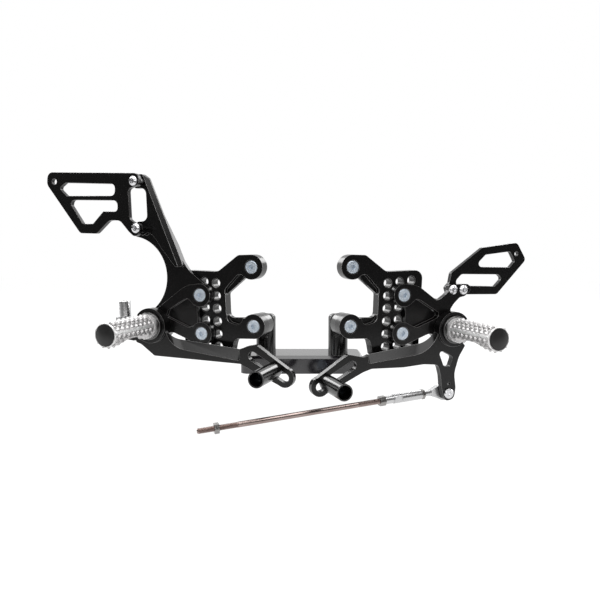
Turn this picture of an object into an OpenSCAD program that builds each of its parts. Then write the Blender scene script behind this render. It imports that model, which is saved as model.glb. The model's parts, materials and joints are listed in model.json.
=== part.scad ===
// Rear set footrests on a display stand.
// Brake side and shift side assemblies lean on two posts of one stand bar.
// Millimetres, +Z up, +Y away from the viewer, origin under the middle of the bar.
// Each side is drawn in its own flat frame: x runs outward, y up, z out of the frame plate.

/* [Stand bar] */
// Length of the bar from end to end
bar_length = 138; // [124:1:180]
// Depth of the bar from front to back
bar_depth = 52; // [46:1:70]
// Height of the bar
bar_height = 20; // [14:1:28]
// Corner radius of the bar in plan
bar_corner_r = 9; // [5:1:14]
// Chamfer round the top edge of the bar
bar_chamfer = 3; // [1:0.5:5]

/* [Stand posts] */
// Diameter of the two round posts
post_d = 22; // [19:0.5:25]
// Height of the posts above the bar
post_length = 46.5; // [43:0.5:60]
// Rounding of the top edge of a post
post_edge_r = 5; // [2:0.5:7]
// Depth of the flat that seats a frame spacer
post_seat_depth = 2; // [1:0.5:4]
// Distance of a post from the middle of the bar
post_x = 40.7; // [38:0.1:46]
// Distance of the posts in front of the middle of the bar
post_y = 13.1; // [9:0.1:14]
// Height of the seated frame boss above the bar
seat_height = 35.9; // [33:0.1:38]

/* [Placing of the sides] */
// Turn of each side away from the viewer
side_turn = 19.5; // [12:0.5:25]
// Outward lean of each side
side_lean = 1.95; // [0:0.05:4]

/* [Frame plates] */
// Thickness of a frame plate
plate_t = 13; // [11:0.5:16]
// Distance between the two frame bosses
boss_spacing = 64; // [62:0.5:70]
// Radius of a frame boss
frame_boss_r = 13.4; // [12:0.1:15]
// Length of a frame spacer
spacer_length = 13; // [8:0.5:20]
// Diameter of a frame spacer
spacer_d = 26; // [20:0.5:26.5]
// Distance of the first hole column from the frame bosses
grid_x0 = 42.4; // [41:0.1:45]
// Height of the first hole of the first column
grid_y0 = -16.5; // [-18:0.1:-15]
// Pitch between the hole columns
grid_pitch_x = 14.4; // [13:0.1:16]
// Pitch between the hole rows
grid_pitch_y = 14; // [12.5:0.1:14.5]
// Rise from one column to the next
grid_stagger = 1.7; // [0:0.1:3]
// Number of hole rows
grid_rows = 6; // [5:1:6]
// Diameter of the adjusting holes
grid_hole_d = 9; // [8.6:0.1:10]
// Depth of the scallops beside the arms
scallop_depth = 6.5; // [3:0.5:9]

/* [Fasteners] */
// Diameter of the large screws
bolt_d = 8; // [7:0.5:8.4]
// Diameter of the low heads of the large screws
bolt_head_d = 14; // [13:0.1:15]
// Height of the low heads
bolt_head_h = 4.5; // [3:0.5:5]
// Length of the frame bolts under the plate face
frame_bolt_length = 35; // [32:1:40]
// Width across the flats of the large nuts
nut_af = 13; // [12:0.5:14]
// Height of the large nuts
nut_h = 6.5; // [5:0.5:8]
// Diameter of the small screws and of the rod thread
small_d = 6; // [5:0.1:6.2]
// Diameter of the small button heads
button_d = 10.4; // [9:0.2:11]
// Height of the small button heads
button_h = 3; // [2:0.2:3.4]

/* [Peg carriers] */
// Height of the carrier face above the frame plate
carrier_face = 12.5; // [11.5:0.5:15]
// Radius of a carrier boss
carrier_boss_r = 12.6; // [11:0.1:13]
// Radius of the carrier hub behind the lever
carrier_hub_r = 18.5; // [16:0.5:19]
// Thickness of the web between the arms on the brake side
brake_web_t = 3.5; // [2:0.5:5]
// Thickness of the web between the arms on the shift side
shift_web_t = 5.5; // [3:0.5:7]
// Outward distance of the brake hub
brake_hub_x = 114.4; // [112:0.1:117]
// Height of the brake hub
brake_hub_y = -61.2; // [-63:0.1:-59]
// Outward distance of the shift hub
shift_hub_x = 114.7; // [112:0.1:117]
// Height of the shift hub
shift_hub_y = -65.2; // [-67:0.1:-63]

/* [Heel bracket and guards] */
// Thickness of the bracket foot under the brake carrier
foot_t = 5; // [4:0.5:6]
// Radius of the round heel cut in the bracket
heel_r = 45.3; // [43:0.1:47]
// Chamfer along the inner edge of the bracket
bracket_chamfer = 4.2; // [2:0.1:5]
// Corner radius of the notch between the bracket ears
bracket_slot_r = 8.5; // [6:0.5:9]
// Thickness of the heel guards
guard_t = 5; // [4:0.5:6]
// Length of the standoffs behind the brake guard
standoff_length = 8; // [5:0.5:12]
// Diameter of the standoffs
standoff_d = 10; // [9:0.5:12]
// Thickness of the tab that holds the shift guard
tab_t = 6.5; // [5:0.5:7]

/* [Levers] */
// Thickness of the levers
lever_t = 7; // [6:0.5:8]
// Gap between a carrier face and its lever
lever_gap = 1; // [0.6:0.1:1.5]
// Radius of the raised hub ring of a lever
lever_hub_r = 19.4; // [18:0.1:20]
// Height of the raised hub ring above the lever face
lever_hub_rise = 3.5; // [2:0.5:5]
// Radius of the ring at the toe end
toe_ring_r = 10.3; // [9.5:0.1:11]
// Half width of the slot in the toe plate
toe_slot_r = 4.8; // [4:0.1:5.2]

/* [Pivots] */
// Outer diameter of the pivot bearings
bearing_d = 24; // [22:0.5:26]
// Outer diameter of the pivot sleeve
sleeve_d = 15; // [14:0.5:17]
// Radial running clearance on the sleeve
running_fit = 0.04; // [0.02:0.01:0.08]
// Diameter of the bolt that holds the peg
peg_bolt_d = 10; // [9:0.5:10.5]
// Radius of the stepped collar
collar_r = 15.5; // [14.5:0.1:17]
// Thickness of the stepped collar
collar_t = 3.7; // [3:0.1:5]
// Gap between a lever hub ring and its collar
collar_gap = 0.3; // [0.2:0.05:0.5]

/* [Foot pegs] */
// Diameter of the knurled peg
peg_d = 28; // [26:0.5:30]
// Length of the peg from collar to tip
peg_length = 72; // [64:1:85]
// Depth of the relief under the peg
peg_relief = 7.5; // [4:0.5:9]
// Length of the full lobe at the tip
peg_lobe = 12; // [8:0.5:16]
// Diameter of the end cap
cap_d = 22; // [18:0.5:24]
// Rise of the domed end cap
cap_rise = 2; // [1:0.5:3]

/* [Toe pegs] */
// Outer diameter of the toe tubes
toe_tube_d = 17; // [15:0.5:19]
// Bore of the toe tubes
toe_tube_bore = 14.4; // [13:0.1:14.6]
// Length of the toe tubes
toe_tube_length = 45.5; // [38:0.5:55]
// Thickness of the floor of a toe tube
toe_tube_floor = 3; // [2:0.5:4]

/* [Brake pushrod] */
// Outward distance of the clevis pin
clevis_x = 150.4; // [149:0.1:153]
// Height of the clevis pin
clevis_y = -69.6; // [-71:0.1:-68]
// Diameter of the clevis pin
clevis_pin_d = 6; // [5:0.5:7]
// Thickness of one fork cheek
cheek_t = 3.6; // [3:0.1:4.5]
// Diameter of the pushrod sleeve
pushrod_d = 14; // [12:0.5:15]
// Length of the pushrod sleeve above the fork
pushrod_length = 18; // [18:0.5:24]
// Depth of the thread for the pump in the top of the sleeve
pump_thread_depth = 8; // [6:0.5:8.4]
// Radius of the thread for the pump
pump_thread_r = 3; // [2.8:0.1:3.1]

/* [Shift rod] */
// Outward distance of the ball bolt
ball_x = 112.6; // [111:0.1:114]
// Height of the ball bolt
ball_y = -137.3; // [-139:0.1:-136]
// Slope of the rod below the level of the lever
rod_slope = 5.6; // [3:0.1:7]
// Diameter of the ball
ball_d = 12.7; // [11.5:0.1:13]
// Width of the ball along its bolt
ball_w = 9; // [8:0.2:9.4]
// Outer diameter of the rod end head
rod_end_d = 20; // [17.5:0.1:21]
// Width of the rod end head
rod_end_w = 6.5; // [6:0.1:7]
// Distance from the ball to the end of the rod end shank
rod_end_reach = 44; // [36:1:50]
// Distance from the ball to the coupler
coupler_start = 28; // [24:0.5:32]
// Length of the coupler
coupler_length = 45; // [38:0.5:52]
// Diameter of the coupler
coupler_d = 10.4; // [9:0.1:11]
// Distance from the ball to the free end of the rod
rod_reach = 279; // [240:1:300]
// Distance of the free nut from the free end
free_nut_back = 17; // [10:1:30]

/* [Hidden] */

// Small overlap that makes a cut break through a face
eps = 0.1;
// Radial clearance of a screw in its hole
screw_gap = 0.25;
// Radial clearance of a flush head in its counterbore
head_gap = 0.5;
// Radial clearance of parts that are screwed together
thread_gap = 0.05;
// Radial step from a shank down to its drawn thread
thread_step = 0.4;
// Clearance between parts of different moving bodies
body_gap = 0.3;

black = [0.035, 0.035, 0.04];
silver = [0.78, 0.79, 0.8];
zinc = [0.7, 0.73, 0.78];
steel = [0.55, 0.52, 0.5];
bronze = [0.6, 0.45, 0.25];

brake_hub = [brake_hub_x, brake_hub_y];
shift_hub = [shift_hub_x, shift_hub_y];
ball_at = [ball_x, ball_y];
clevis_at = [clevis_x, clevis_y];

// Heights of the stack on a hub, measured from the face of the frame plate
lever_back = carrier_face + lever_gap;
lever_face = lever_back + lever_t;
hub_face = lever_face + lever_hub_rise;
collar_back = hub_face + collar_gap;
peg_base = collar_back + collar_t;
peg_tip = peg_base + peg_length;
peg_bolt_head_h = 6;
peg_thread_depth = 26;

// Distance from the axis of a post to the face of its frame plate
post_to_face = plate_t + spacer_length + post_d / 2 - post_seat_depth;

// Places of the holes in a frame plate
function grid_x(c) = grid_x0 + c * grid_pitch_x;
function grid_y(c, r) = grid_y0 + c * grid_stagger - r * grid_pitch_y;
upper_bolt = [grid_x(1), grid_y(1, 1)];
lower_bolt = [grid_x(1), grid_y(1, 4)];
plate_edge = grid_x(2) + 14;
plate_bottom = grid_y(0, 5) - 10.5;

// Places that the toe plates and guards share with their screws
brake_toe_ring = [-41.9, -114];
shift_toe_ring = [-40.7, -123.6];
brake_slot_top = [-6.9, -92.4];
shift_slot_top = [-5.7, -102.3];
brake_tube = [-30.4, -106.6];
shift_tube = [-33.4, -119.2];
guard_upper = [124, 97];
guard_lower = [123.6, 46];
tab_inner = [117.4, -22];
tab_outer = [130.6, -22];
tab_back = carrier_face - tab_t;
guard_back = carrier_face + standoff_length;
guard_face = guard_back + guard_t;
heel_centre = [146, -7];

// Stations of the pushrod fork above its pin
fork_crotch = 12;
fork_top = 17.6;
fork_half = lever_t / 2 + body_gap + cheek_t;
fork_thread_r = 3.5;
fork_thread_length = 9;

// Middle plane and stations of the shift rod
rod_z = lever_back - ball_w / 2;
coupler_end = coupler_start + coupler_length;
rod_nut_h = 5;
rod_nut_af = 10;
rod_overlap = 14;

// Shared helpers

function unit(v) = v / norm(v);

// Points of one rounded corner b between its neighbours a and c
function corner(a, b, c) =
    b[2] == 0 ? [[b[0], b[1]]] :
    let (
        p = [b[0], b[1]],
        ua = unit([a[0], a[1]] - p),
        uc = unit([c[0], c[1]] - p),
        half = acos(ua * uc) / 2,
        room = 0.48 * min(norm([a[0], a[1]] - p), norm([c[0], c[1]] - p)),
        r = min(b[2], room * tan(half)),
        m = p + unit(ua + uc) * r / sin(half),
        start = p + ua * r / tan(half) - m,
        turn = cross(-ua, uc) > 0 ? 1 : -1,
        sweep = 180 - 2 * half,
        steps = max(2, ceil(sweep / 15)),
        first = atan2(start[1], start[0])
    )
    [for (i = [0:steps]) let (t = first + turn * sweep * i / steps) m + r * [cos(t), sin(t)]];

// Outline with a rounded corner at each point [x, y, radius]
function rounded(pts) =
    let (n = len(pts))
    [for (i = [0:n - 1]) each corner(pts[(i + n - 1) % n], pts[i], pts[(i + 1) % n])];

// Flat slot shape between two centres
module slot_shape(a, b, r) {
    t = atan2(b[1] - a[1], b[0] - a[0]);
    polygon([
        for (s = [-90:15:90]) b + r * [cos(t + s), sin(t + s)],
        for (s = [90:15:270]) a + r * [cos(t + s), sin(t + s)]
    ]);
}

// Straight wall of given shape between two heights
module slab(z0, z1) {
    translate([0, 0, z0]) linear_extrude(z1 - z0) children();
}

// Round bar on a centre between two heights
module bar(at, r, z0, z1) {
    translate([at[0], at[1], z0]) cylinder(h = z1 - z0, r = r, $fn = 48);
}

// Cone on a centre between two heights
module cone(at, r0, r1, z0, z1) {
    translate([at[0], at[1], z0]) cylinder(h = z1 - z0, r1 = r0, r2 = r1, $fn = 48);
}

// Hexagon bar on a centre between two heights
module hex(at, af, z0, z1) {
    translate([at[0], at[1], z0]) cylinder(h = z1 - z0, r = af / sqrt(3), $fn = 6);
}

// Low headed socket screw with its face at the given height
module flush_screw(at, face, tip) {
    color(zinc) difference() {
        union() {
            cone(at, bolt_head_d / 2, bolt_head_d / 2 - 0.6, face - 0.6, face);
            bar(at, bolt_head_d / 2, face - bolt_head_h, face - 0.6);
            bar(at, bolt_d / 2, tip, face - bolt_head_h);
        }
        hex(at, 5, face - 3, face + eps);
    }
}

// Button headed screw seated at the given height
module button_screw(at, seat, tip) {
    r = button_d / 2;
    color(silver) difference() {
        union() {
            bar(at, r, seat, seat + button_h * 0.4);
            cone(at, r, r - button_h * 0.75, seat + button_h * 0.4, seat + button_h);
            bar(at, small_d / 2 - 0.5, tip, seat);
        }
        hex(at, 4, seat + button_h - 1.8, seat + button_h + eps);
    }
}

// Nut with a through bore between two heights
module nut(at, af, bore_r, z0, z1) {
    difference() {
        hex(at, af, z0, z1);
        bar(at, bore_r, z0 - eps, z1 + eps);
    }
}

// Places a side assembly so that its lower boss seats on the post
module shift_side() {
    translate([post_x, -post_y, bar_height + seat_height])
        rotate([0, 0, side_turn])
            rotate([90, 0, 0])
                rotate([0, 0, -side_lean])
                    translate([0, boss_spacing, post_to_face])
                        children();
}

module brake_side() {
    mirror([1, 0, 0]) shift_side() children();
}

// Stand

// Section of the bar with its two top chamfers, run along x
module bar_run(length, width) {
    w = width / 2;
    top = bar_height - bar_chamfer;
    rotate([90, 0, 90])
        translate([0, 0, -length / 2])
            linear_extrude(length)
                polygon([[-w, 0], [w, 0], [w, top], [w - bar_chamfer, bar_height],
                    [-w + bar_chamfer, bar_height], [-w, top]]);
}

module stand_bar() {
    inset_x = bar_length / 2 - bar_corner_r;
    inset_y = bar_depth / 2 - bar_corner_r;
    top = bar_height - bar_chamfer;
    color(black) difference() {
        union() {
            bar_run(2 * inset_x, bar_depth);
            rotate([0, 0, 90]) bar_run(2 * inset_y, bar_length);
            for (sx = [-1, 1], sy = [-1, 1]) {
                c = [sx * inset_x, sy * inset_y];
                bar(c, bar_corner_r, 0, top);
                cone(c, bar_corner_r, bar_corner_r - bar_chamfer, top, bar_height);
            }
        }
        for (s = [-1, 1]) {
            bar([s * post_x, -post_y], bolt_d / 2 + screw_gap, -eps, bar_height + eps);
            bar([s * post_x, -post_y], bolt_head_d / 2 + head_gap, -eps, bolt_head_h + 1);
        }
    }
}

// Round post with a rounded top edge, a flat seat and two threaded holes
module post_body(s) {
    r = post_d / 2;
    top = bar_height + post_length;
    at = [s * post_x, -post_y];
    color(black) difference() {
        union() {
            bar(at, r, bar_height, top - post_edge_r);
            bar(at, r - post_edge_r, bar_height, top);
            translate([at[0], at[1], top - post_edge_r])
                rotate_extrude($fn = 48)
                    translate([r - post_edge_r, 0])
                        circle(post_edge_r, $fn = 32);
        }
        translate([at[0], at[1], bar_height + seat_height])
            rotate([0, 0, s * side_turn])
                translate([-post_d, -post_d - r + post_seat_depth, -spacer_d / 2 - 1.5])
                    cube([2 * post_d, post_d, post_length]);
        translate([at[0], at[1], bar_height + seat_height])
            rotate([0, 0, s * side_turn])
                rotate([90, 0, 0])
                    bar([0, 0], bolt_d / 2 + thread_gap, -post_d / 2 + 6, post_d);
        bar(at, bolt_d / 2 + thread_gap, bar_height - eps, bar_height + 13);
    }
}

module stand_post_brake() { post_body(-1); }

module stand_post_shift() { post_body(1); }

// Screws that hold the posts from under the bar
module post_screws() {
    for (s = [-1, 1]) {
        mirror([0, 0, 1])
            flush_screw([s * post_x, -post_y], -1, -bar_height - 12);
    }
}

// Frame plates

module plate_shape() {
    lower = -boss_spacing;
    polygon(rounded([
        [1, frame_boss_r - 0.05, 0],
        [14.8, frame_boss_r, 6],
        [40, -4, 10],
        [plate_edge, -1.2, 9],
        [plate_edge - 1, plate_bottom, 4],
        [27.8, plate_bottom, 3],
        [25.3, -85.5, 3],
        [23.6, -80, 3],
        [19.5, lower - frame_boss_r, 2],
        [1, lower - frame_boss_r + 0.05, 0],
        [0, lower + 9, 0],
        [31.8, lower + 9, 6],
        [31.8, -28.3, 4],
        [0, -3.4, 0]
    ]));
}

module frame_plate_body() {
    lower = [0, -boss_spacing];
    color(black) difference() {
        union() {
            slab(-plate_t, 0) plate_shape();
            bar([0, 0], frame_boss_r, -plate_t, 0);
            bar(lower, frame_boss_r, -plate_t, 0);
        }
        for (c = [0:2], r = [0:grid_rows - 1]) {
            at = [grid_x(c), grid_y(c, r)];
            bar(at, grid_hole_d / 2, -plate_t - eps, eps);
            cone(at, grid_hole_d / 2, grid_hole_d / 2 + 0.7, -0.6, eps);
        }
        for (at = [[0, 0], lower]) {
            bar(at, bolt_d / 2 + screw_gap, -plate_t - eps, eps);
            bar(at, bolt_head_d / 2 + head_gap, -bolt_head_h, eps);
        }
        slab(-scallop_depth, eps) slot_shape([13.9, -13], [27, -26], 5.5);
        slab(-scallop_depth, eps)
            slot_shape(lower + [19.5, 9], lower + [24.5, 10.5], 7);
    }
}

// Spacer between the lower boss and the flat of the post
module frame_spacer_body() {
    at = [0, -boss_spacing];
    color(black) difference() {
        bar(at, spacer_d / 2, -plate_t - spacer_length, -plate_t);
        bar(at, bolt_d / 2 + screw_gap, -plate_t - spacer_length - eps, -plate_t + eps);
    }
}

// The upper bolt ends in the open, so its thread is drawn a little below its shank
module frame_bolts_body() {
    color(zinc) union() {
        flush_screw([0, 0], 0, -plate_t);
        bar([0, 0], bolt_d / 2 - thread_step, -frame_bolt_length, -plate_t + eps);
    }
    flush_screw([0, -boss_spacing], 0, -frame_bolt_length);
}

module brake_frame_plate() { brake_side() frame_plate_body(); }

module shift_frame_plate() { shift_side() frame_plate_body(); }

module brake_frame_spacer() { brake_side() frame_spacer_body(); }

module shift_frame_spacer() { shift_side() frame_spacer_body(); }

module brake_frame_bolts() { brake_side() frame_bolts_body(); }

module shift_frame_bolts() { shift_side() frame_bolts_body(); }

// Peg carriers

// Upper and lower arm from the two bosses to the hub
module brake_arms() {
    u = upper_bolt;
    l = lower_bolt;
    h = brake_hub;
    r = carrier_boss_r;
    polygon(rounded([
        concat(u, 0), concat(u + [1, r - 0.05], 0), concat(u + [13.6, 11.4], 8),
        concat(u + [22.5, 7.2], 6), concat(h + [-2.5, 17.3], 0), concat(h, 0),
        concat(h + [-15, 9], 0), concat(h + [-17.5, 16.2], 4), concat(u + [20.5, -5.2], 4),
        concat(u + [15, -3], 4), concat(u + [7, -10.7], 0)
    ]));
    polygon(rounded([
        concat(l, 0), concat(l + [11.4, 8.4], 0), concat(l + [15, 6.6], 3),
        concat(h + [-19.5, 7.2], 4), concat(h + [-12, 10], 0), concat(h, 0),
        concat(h + [-12, -13], 0), concat(h + [-20.4, -7.3], 12), concat(l + [1.3, -13.2], 3)
    ]));
    translate(u) circle(r, $fn = 64);
    translate(l) circle(r, $fn = 64);
    translate(h) circle(carrier_hub_r, $fn = 64);
}

// Thin web that fills the space between the arms
module web_shape(u, l, h) {
    polygon([
        u + [5.7, -8], u + [14, -2], u + [22, -4], h + [-14, 16],
        h, h + [-16, -6], l + [20, 4], l + [5.7, 6]
    ]);
}

module carrier_holes(h, base) {
    for (at = [upper_bolt, lower_bolt]) {
        bar(at, bolt_d / 2 + screw_gap, base - eps, carrier_face + eps);
        bar(at, bolt_head_d / 2 + head_gap, carrier_face - bolt_head_h, carrier_face + eps);
    }
    bar(h, peg_bolt_d / 2 + screw_gap, base - eps, carrier_face + eps);
}

module brake_peg_carrier() {
    brake_side() color(black) difference() {
        union() {
            slab(foot_t, carrier_face) brake_arms();
            slab(foot_t, foot_t + brake_web_t) web_shape(upper_bolt, lower_bolt, brake_hub);
        }
        carrier_holes(brake_hub, foot_t);
    }
}

// Upper arm with the guard tab, and lower arm, of the shift carrier
module shift_arms() {
    u = upper_bolt;
    l = lower_bolt;
    h = shift_hub;
    r = carrier_boss_r;
    polygon(rounded([
        concat(u, 0), concat(u + [1, r - 0.05], 0), concat(u + [14, 11], 8),
        concat(u + [20.4, 8.1], 6), concat(h + [-17, 30.8], 5), concat(h + [-12.5, 33.2], 8),
        concat(h + [-1.5, 22], 0), concat(h, 0), concat(h + [-14, 12], 0),
        concat(h + [-14.5, 17.5], 3), concat(u + [20.5, -5.6], 4),
        concat(u + [15, -3.6], 4), concat(u + [7, -10.7], 0)
    ]));
    polygon(rounded([
        concat(l, 0), concat(l + [8.5, 9.6], 0), concat(l + [16.5, 6.4], 3),
        concat(h + [-17, 11], 3), concat(h + [-13, 15], 0), concat(h, 0),
        concat(h + [-12, -13], 0), concat(h + [-21.9, -4.6], 12), concat(l + [1, -13.2], 3)
    ]));
    translate(u) circle(r, $fn = 64);
    translate(l) circle(r, $fn = 64);
    translate(h) circle(carrier_hub_r, $fn = 64);
}

// Neck and tab that carry the shift guard
module shift_tab_shape() {
    polygon(rounded([
        [shift_hub_x - 17, shift_hub_y + 28, 0], [101.5, -32.6, 4], [108, -28, 4],
        [tab_inner[0] - 4.6, tab_inner[1] - 1, 3], [tab_inner[0] - 6.5, tab_inner[1] + 5.7, 4],
        [tab_outer[0] + 5.7, tab_outer[1] + 6.6, 4], [tab_outer[0] + 9.9, tab_outer[1] + 3.6, 4],
        [tab_outer[0] + 9.5, tab_outer[1] - 1.3, 4], [tab_outer[0] + 2.6, tab_outer[1] - 7.2, 5],
        [126.7, -30.7, 5], [119.3, -38, 8], [shift_hub_x + 1, shift_hub_y + 21.5, 0],
        [shift_hub_x + 3, shift_hub_y + 5, 0], [shift_hub_x - 7, shift_hub_y + 12, 0]
    ]));
}

module shift_peg_carrier() {
    shift_side() color(black) difference() {
        union() {
            slab(0, carrier_face) shift_arms();
            slab(tab_back, carrier_face) shift_tab_shape();
            slab(0, shift_web_t) web_shape(upper_bolt, lower_bolt, shift_hub);
        }
        carrier_holes(shift_hub, 0);
        for (at = [tab_inner, tab_outer]) {
            bar(at, small_d / 2 - 0.5 + screw_gap, tab_back - eps, carrier_face + eps);
        }
    }
}

module carrier_bolts_body() {
    for (at = [upper_bolt, lower_bolt]) {
        flush_screw(at, carrier_face, -plate_t - nut_h - 1.5);
    }
}

module carrier_nuts_body() {
    for (at = [upper_bolt, lower_bolt]) {
        color(zinc) nut(at, nut_af, bolt_d / 2 + thread_gap, -plate_t - nut_h, -plate_t);
    }
}

module brake_carrier_bolts() { brake_side() carrier_bolts_body(); }

module shift_carrier_bolts() { shift_side() carrier_bolts_body(); }

module brake_carrier_nuts() { brake_side() carrier_nuts_body(); }

module shift_carrier_nuts() { shift_side() carrier_nuts_body(); }

// Heel bracket and heel guards

// Ears of the bracket and the round ended notch between them
ear_outline = [
    [114.6, 100.6, 4], [122, 106.2, 6], [131, 104.5, 7], [134, 97, 5], [131.5, 90.5, 3],
    [126 - bracket_slot_r, 90.5, bracket_slot_r], [126 - bracket_slot_r, 54, bracket_slot_r]
];
inner_low = [79.4, 8.5];
inner_high = [114.6, 100.6];

// Foot and upright of the bracket with the round heel cut
module bracket_upright() {
    difference() {
        polygon(rounded(concat(
            [[86, -34, 0], concat(upper_bolt + [-2, 12], 0), [57.6, -14.6, 4], [73, -1.2, 12],
                concat(inner_low, 12)],
            ear_outline,
            [[131, 54, 3], [136.5, 46, 6], [139, 34, 0], [150, 0, 0],
                concat(brake_hub + [14, 16], 0), concat(brake_hub, 0)]
        )));
        translate(heel_centre) circle(heel_r, $fn = 96);
    }
}

// Raised rib along the inner edge, with the two ears
module bracket_rib() {
    difference() {
        polygon(rounded(concat(
            [concat(inner_low, 12)],
            ear_outline,
            [[131.5, 54, 3], [132, 42, 6], [124, 37.6, 6], [118, 41.5, 3], [110.9, 37.8, 6],
                [100.3, 21.9, 20], [85.5, 3, 2], [77.5, 1.8, 2]]
        )));
        translate(heel_centre) circle(heel_r, $fn = 96);
    }
}

// Ramp behind the upright that thins it towards the guard
module bracket_back_relief() {
    reach = 140;
    depth = carrier_face - tab_t;
    rotate([90, 0, 90])
        linear_extrude(reach)
            polygon([[25, -eps], [26, 0], [60, depth], [reach, depth], [reach, -eps]]);
}

module brake_heel_bracket() {
    along = inner_high - inner_low;
    c = bracket_chamfer;
    brake_side() color(black) difference() {
        union() {
            slab(0, foot_t) bracket_upright();
            slab(0, foot_t) brake_arms();
            slab(0, foot_t) web_shape(upper_bolt, lower_bolt, brake_hub);
            slab(0, carrier_face) bracket_rib();
        }
        // long chamfer along the straight inner edge
        translate([inner_low[0], inner_low[1], 0])
            rotate([0, 0, atan2(along[1], along[0])])
                translate([-12, 0, 0])
                    rotate([90, 0, 90])
                        linear_extrude(norm(along) + 30)
                            polygon([
                                [-c - eps, carrier_face + eps], [1, carrier_face + eps],
                                [1, carrier_face - c - 1]
                            ]);
        bracket_back_relief();
        for (at = [guard_upper, guard_lower]) {
            bar(at, small_d / 2 - 0.5 + thread_gap, -eps, carrier_face + eps);
        }
        for (at = [upper_bolt, lower_bolt]) {
            bar(at, bolt_d / 2 + screw_gap, -eps, foot_t + eps);
        }
        bar(brake_hub, peg_bolt_d / 2 + screw_gap, -eps, foot_t + eps);
    }
}

module guard_standoffs() {
    brake_side() for (at = [guard_upper, guard_lower]) {
        color(black) difference() {
            bar(at, standoff_d / 2, carrier_face, guard_back);
            bar(at, small_d / 2 - 0.5 + screw_gap, carrier_face - eps, guard_back + eps);
        }
    }
}

module brake_heel_guard() {
    a = guard_upper;
    b = guard_lower;
    brake_side() color(black) difference() {
        slab(guard_back, guard_face) polygon(rounded([
            [a[0] - 6.5, a[1] + 8, 7], [238.5, 114.8, 9], [240.6, 101, 9], [198.2, 43.6, 6],
            [175.6, 42.2, 5], [157.8, 56.2, 8], [144, 55.4, 9], [b[0] + 10, b[1] - 3, 7],
            [b[0] + 1, b[1] - 11, 6], [b[0] - 7.5, b[1], 7], [b[0] + 7.7, b[1] + 10, 5],
            [a[0] + 7.3, a[1] - 8, 5], [a[0] - 7.5, a[1] - 4, 6]
        ]));
        slab(guard_back - eps, guard_face + eps) polygon(rounded([
            [214.6, 101.2, 3], [223.6, 95.6, 3], [214, 86.4, 1], [149.4, 82.6, 5],
            [147.6, 95.4, 5]
        ]));
        slab(guard_back - eps, guard_face + eps) polygon(rounded([
            [206.2, 81.4, 4], [145.6, 77.4, 6], [146.6, 65.2, 4], [165.2, 66.4, 1],
            [180, 53.4, 2], [194, 54, 2], [208.6, 76, 3]
        ]));
        bar([230, 103.5], 3.5, guard_back - eps, guard_face + eps);
        for (at = [a, b]) {
            bar(at, small_d / 2 - 0.5 + screw_gap, guard_back - eps, guard_face + eps);
        }
    }
}

module brake_guard_screws() {
    brake_side() for (at = [guard_upper, guard_lower]) {
        button_screw(at, guard_face, carrier_face - tab_t + 1);
    }
}

module shift_heel_guard() {
    back = tab_back - guard_t;
    shift_side() color(black) difference() {
        slab(back, tab_back) polygon(rounded([
            [118.4, -3.6, 3], [158, 26, 5], [206, 33.4, 6], [219.6, 13.8, 5],
            [181.2, -27.2, 5], [114.6, -28, 5], [111.6, -20, 3], [116.6, -15, 3]
        ]));
        slab(back - eps, tab_back + eps) polygon(rounded([
            [163, 18, 4], [196.6, 22.8, 3], [204, 11.6, 2], [197.4, 4.4, 2], [148.6, 3.8, 5]
        ]));
        slab(back - eps, tab_back + eps) polygon(rounded([
            [132, -4.8, 5], [181.8, -4.2, 4], [187.2, -8.8, 3], [178.4, -18, 2],
            [126, -17.8, 4], [125.2, -12, 4]
        ]));
        bar([205.7, 20.3], 2.6, back - eps, tab_back + eps);
        for (at = [tab_inner, tab_outer]) {
            bar(at, small_d / 2 - 0.5 + thread_gap, back - eps, tab_back + eps);
        }
    }
}

module shift_guard_screws() {
    shift_side() for (at = [tab_inner, tab_outer]) {
        button_screw(at, carrier_face, tab_back - guard_t);
    }
}

// Hub stack

module sleeve_body(h) {
    color(steel) difference() {
        union() {
            bar(h, sleeve_d / 2, carrier_face, collar_back);
            bar(h, bearing_d / 2 - 2, carrier_face, lever_back - body_gap);
        }
        bar(h, peg_bolt_d / 2 + thread_gap, carrier_face - eps, collar_back + eps);
    }
}

module bearing_body(h) {
    color(bronze) difference() {
        bar(h, bearing_d / 2, lever_back, hub_face);
        bar(h, sleeve_d / 2 + running_fit, lever_back - eps, hub_face + eps);
    }
}

module collar_body(h) {
    color(black) difference() {
        union() {
            bar(h, collar_r, collar_back, collar_back + collar_t * 0.55);
            cone(h, collar_r - 0.6, collar_r - 1.8, collar_back + collar_t * 0.5, peg_base);
        }
        bar(h, peg_bolt_d / 2 + screw_gap, collar_back - eps, peg_base + eps);
    }
}

// Peg with a relieved underside and a full lobe at the tip
module peg_body(h) {
    r = peg_d / 2;
    flat = -r + peg_relief;
    color(silver) difference() {
        union() {
            bar(h, r - 0.5, peg_base, peg_base + 4.5);
            bar(h, r, peg_base + 4.5, peg_tip - 1);
            cone(h, r, r - 1, peg_tip - 1, peg_tip);
        }
        // scoop under the peg, with a ramp at each end
        translate([h[0] - r - 1, h[1], 0])
            rotate([90, 0, 90])
                linear_extrude(2 * r + 2)
                    polygon([
                        [-r - 2, peg_base + 7], [flat, peg_base + 13],
                        [flat, peg_tip - peg_lobe - 12], [flat - 2.2, peg_tip - peg_lobe - 5],
                        [-r - 2, peg_tip - peg_lobe + 2]
                    ]);
        // wrench flats at the base
        for (a = [0, 180]) {
            translate([h[0], h[1], peg_base])
                rotate([0, 0, a])
                    translate([r - 2, -r, -eps])
                        cube([r, 2 * r, 4.5 + eps]);
        }
        bar(h, peg_bolt_d / 2 + thread_gap, peg_base - eps, peg_base + peg_thread_depth);
        bar(h, cap_d / 2 - 1.5 + thread_gap, peg_tip - 6, peg_tip + eps);
    }
}

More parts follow.
